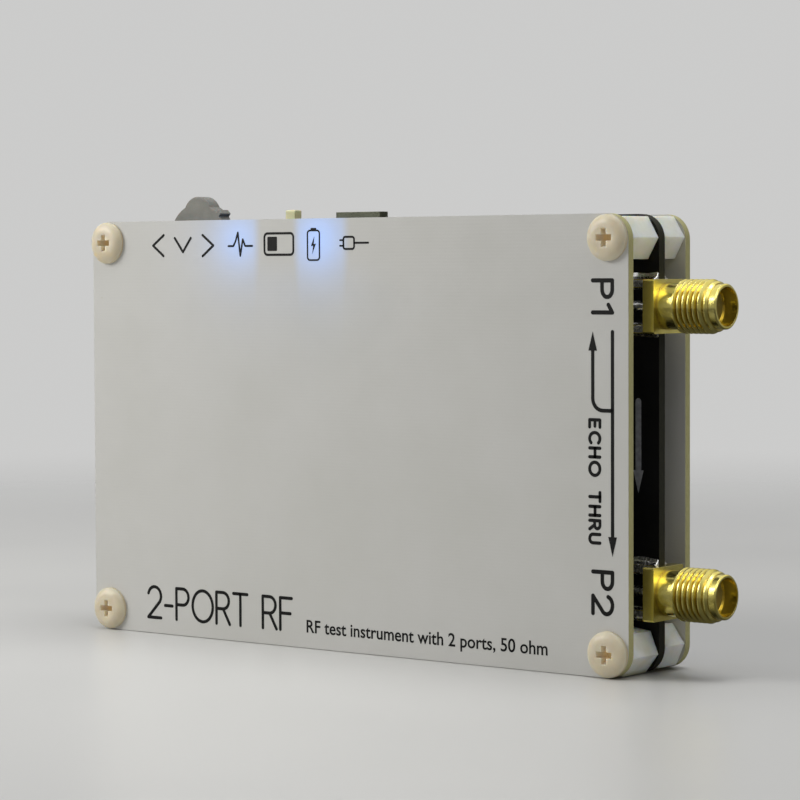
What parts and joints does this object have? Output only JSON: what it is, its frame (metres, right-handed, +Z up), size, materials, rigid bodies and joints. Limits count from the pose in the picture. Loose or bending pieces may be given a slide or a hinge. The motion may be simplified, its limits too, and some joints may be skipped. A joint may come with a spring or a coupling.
{
  "type": "vector network analyzer",
  "caption": "Pocket two-port vector network analyser: board sandwich on nylon standoffs, display, coaxial ports, jog lever, slide switch and USB socket.",
  "frame": {"origin": "on the bottom edge face of the main board, under the middle of the board outline and halfway through the thickness of the case", "axes": "+X along the long edge towards the coaxial ports, +Y from the back cover to the display, +Z up with the analyser standing on its long edge"},
  "size_m": [0.0951, 0.0151, 0.0571],
  "materials": {
    "cover_mask": "satin white solder mask on fibreglass",
    "board_mask": "satin black solder mask on fibreglass",
    "nylon": "natural nylon",
    "gold": "gold plated",
    "ptfe": "white fluoropolymer",
    "solder": "bright solder",
    "steel": "nickel plated sheet",
    "black_plastic": "moulded black",
    "phenolic": "brown laminate",
    "cream_plastic": "moulded cream",
    "lever_plastic": "moulded light grey",
    "copper_alloy": "plated spring alloy",
    "chip_epoxy": "moulded epoxy",
    "capacitor_ceramic": "ceramic chips",
    "ferrite": "ferrite",
    "led_lens": "clear resin, lit",
    "foil": "laminated foil",
    "kapton": "amber film",
    "foam_tape": "foam",
    "white_plastic": "moulded white",
    "red_wire": "silicone",
    "black_wire": "silicone",
    "tray_steel": "pressed sheet",
    "acrylic": "clear acrylic",
    "display_glass": "lit panel",
    "touch_glass": "clear"
  },
  "bodies": {
    "case": {"back_cover": "cover_mask", "front_cover": "cover_mask", "main_board": "board_mask", "back_screws": "nylon", "front_screws": "nylon", "rear_standoffs": "nylon", "front_standoffs": "nylon", "port_1_shell": "gold", "port_2_shell": "gold", "port_insulators": "ptfe", "port_contacts": "gold", "port_solder": "solder", "usb_shell": "steel", "usb_tongue": "black_plastic", "usb_contacts": "gold", "power_switch_can": "steel", "power_switch_base": "phenolic", "power_switch_terminals": "copper_alloy", "jog_base": "black_plastic", "jog_cover": "steel", "jog_spring": "steel", "jog_click_spring": "copper_alloy", "microcontroller": "chip_epoxy", "audio_codec": "chip_epoxy", "clock_generator": "chip_epoxy", "mixers": "chip_epoxy", "power_chips": "chip_epoxy", "power_inductor": "ferrite", "crystals": "steel", "status_led": "led_lens", "charge_led": "led_lens", "chip_resistors": "chip_epoxy", "chip_capacitors": "capacitor_ceramic", "shield_frames": "steel", "shield_lids": "steel", "battery_pouch": "foil", "battery_cap": "kapton", "battery_pad": "foam_tape", "battery_header": "white_plastic", "battery_plug": "white_plastic", "battery_lead_red": "red_wire", "battery_lead_black": "black_wire", "display_tray": "tray_steel", "display_tape": "foam_tape", "light_guide": "acrylic", "lcd_panel": "display_glass", "touch_panel": "touch_glass", "display_gasket": "foam_tape", "display_flex": "kapton"},
    "power_knob": {"power_slider": "cream_plastic", "power_wiper": "copper_alloy"},
    "jog_push_frame": {"jog_carrier": "white_plastic"},
    "jog_rocker": {"jog_lever": "lever_plastic"}
  },
  "joints": [
    {"name": "power_slide", "type": "slide", "parent": "case", "child": "power_knob", "axis": [1, 0, 0], "range_m": [0, 0.002]},
    {"name": "jog_push", "type": "slide", "parent": "case", "child": "jog_push_frame", "axis": [0, 0, -1], "range_m": [0, 0.0003], "deforming": ["jog_click_spring"]},
    {"name": "jog_tilt", "type": "hinge", "parent": "jog_push_frame", "child": "jog_rocker", "pos_m": [-0.0269, -0.0024, 0.0513], "axis": [0, 1, 0], "range_deg": [-12, 12], "deforming": ["jog_spring"]}
  ]
}
